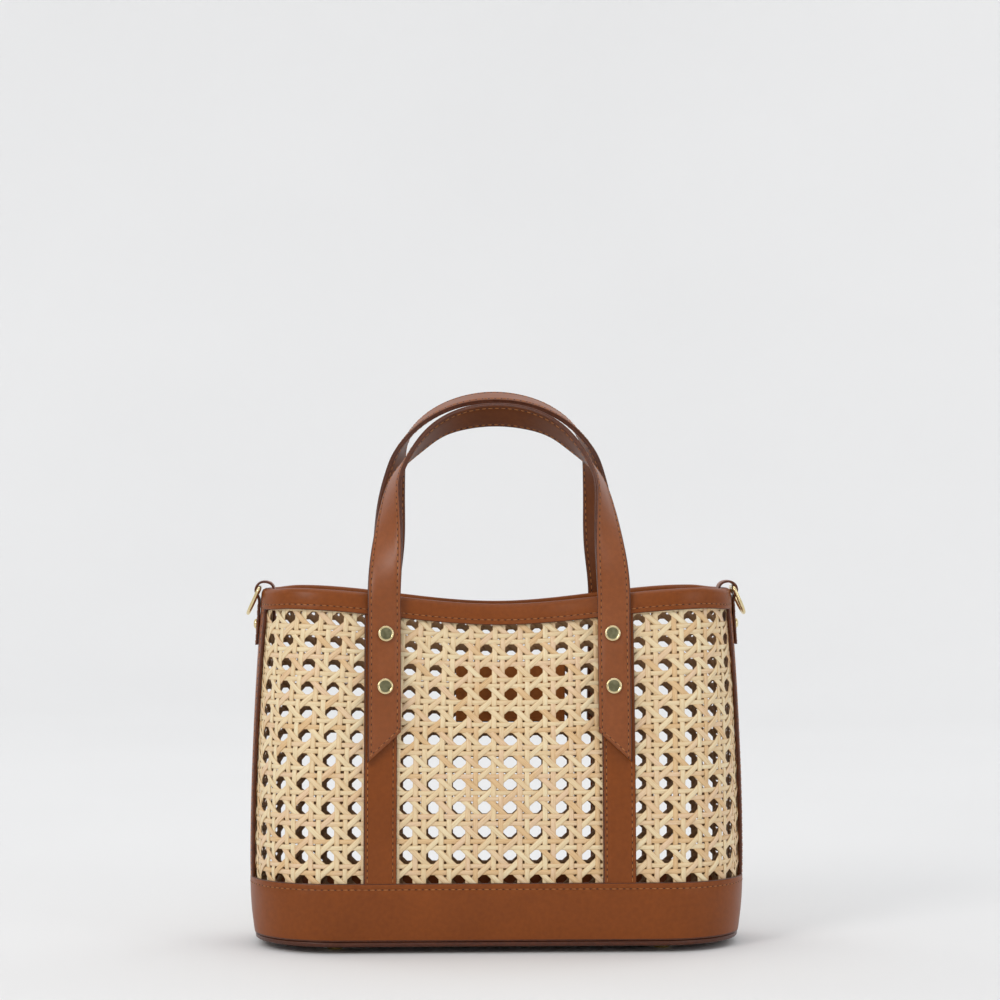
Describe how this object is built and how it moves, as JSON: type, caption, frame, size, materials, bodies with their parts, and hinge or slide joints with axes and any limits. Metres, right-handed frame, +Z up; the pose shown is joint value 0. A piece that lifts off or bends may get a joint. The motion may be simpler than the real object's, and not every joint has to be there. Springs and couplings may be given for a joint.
{
  "type": "cane webbing box tote bag",
  "caption": "Small open-topped box tote of woven cane webbing with smooth leather base, binding, strips and handles, hinged side rings and metal feet.",
  "frame": {"origin": "on the ground under the middle of the bag, at the bottom centre of its box", "axes": "+X along the bag to its right, +Y to its back, +Z up towards the handles"},
  "size_m": [0.255, 0.0956, 0.2817],
  "materials": {
    "cane": "split rattan cane, six-way woven, lightly varnished",
    "leather": "smooth tan cowhide, satin",
    "strap_leather": "smooth tan cowhide, satin, painted edges",
    "lining_leather": "smooth tan cowhide lining, matt",
    "base_leather": "smooth tan cowhide with a dark painted edge",
    "board": "leather-covered stiff board",
    "pale_gold": "pale gold plated, polished"
  },
  "bodies": {
    "bag": {"base_band_back": "leather", "base_band_front": "leather", "base_board": "board", "base_panel": "base_leather", "binding_back": "leather", "binding_front": "leather", "cane_back": "cane", "cane_front": "cane", "foot_1": "pale_gold", "foot_2": "pale_gold", "foot_3": "pale_gold", "foot_4": "pale_gold", "handle_back_lining": "lining_leather", "handle_back_outer": "strap_leather", "handle_front_lining": "lining_leather", "handle_front_outer": "strap_leather", "inner_patch": "lining_leather", "ring_tab_left": "strap_leather", "ring_tab_right": "strap_leather", "rivet_back_back_left_high": "pale_gold", "rivet_back_back_left_low": "pale_gold", "rivet_back_back_right_high": "pale_gold", "rivet_back_back_right_low": "pale_gold", "rivet_back_front_left_high": "pale_gold", "rivet_back_front_left_low": "pale_gold", "rivet_back_front_right_high": "pale_gold", "rivet_back_front_right_low": "pale_gold", "rivet_cap_back_left_high": "pale_gold", "rivet_cap_back_left_low": "pale_gold", "rivet_cap_back_right_high": "pale_gold", "rivet_cap_back_right_low": "pale_gold", "rivet_cap_front_left_high": "pale_gold", "rivet_cap_front_left_low": "pale_gold", "rivet_cap_front_right_high": "pale_gold", "rivet_cap_front_right_low": "pale_gold", "side_strip_left": "leather", "side_strip_right": "leather", "strip_back_left": "leather", "strip_back_right": "leather", "strip_front_left": "leather", "strip_front_right": "leather", "tab_rivet_back_left": "pale_gold", "tab_rivet_back_right": "pale_gold", "tab_rivet_cap_left": "pale_gold", "tab_rivet_cap_right": "pale_gold"},
    "ring_left": {"d_ring_left": "pale_gold"},
    "ring_right": {"d_ring_right": "pale_gold"}
  },
  "joints": [
    {"name": "ring_left_hinge", "type": "hinge", "parent": "bag", "child": "ring_left", "pos_m": [-0.12066, 0, 0.18042], "axis": [0, 1, 0], "range_deg": [0, 150]},
    {"name": "ring_right_hinge", "type": "hinge", "parent": "bag", "child": "ring_right", "pos_m": [0.12066, 0, 0.18042], "axis": [0, -1, 0], "range_deg": [0, 150]}
  ]
}
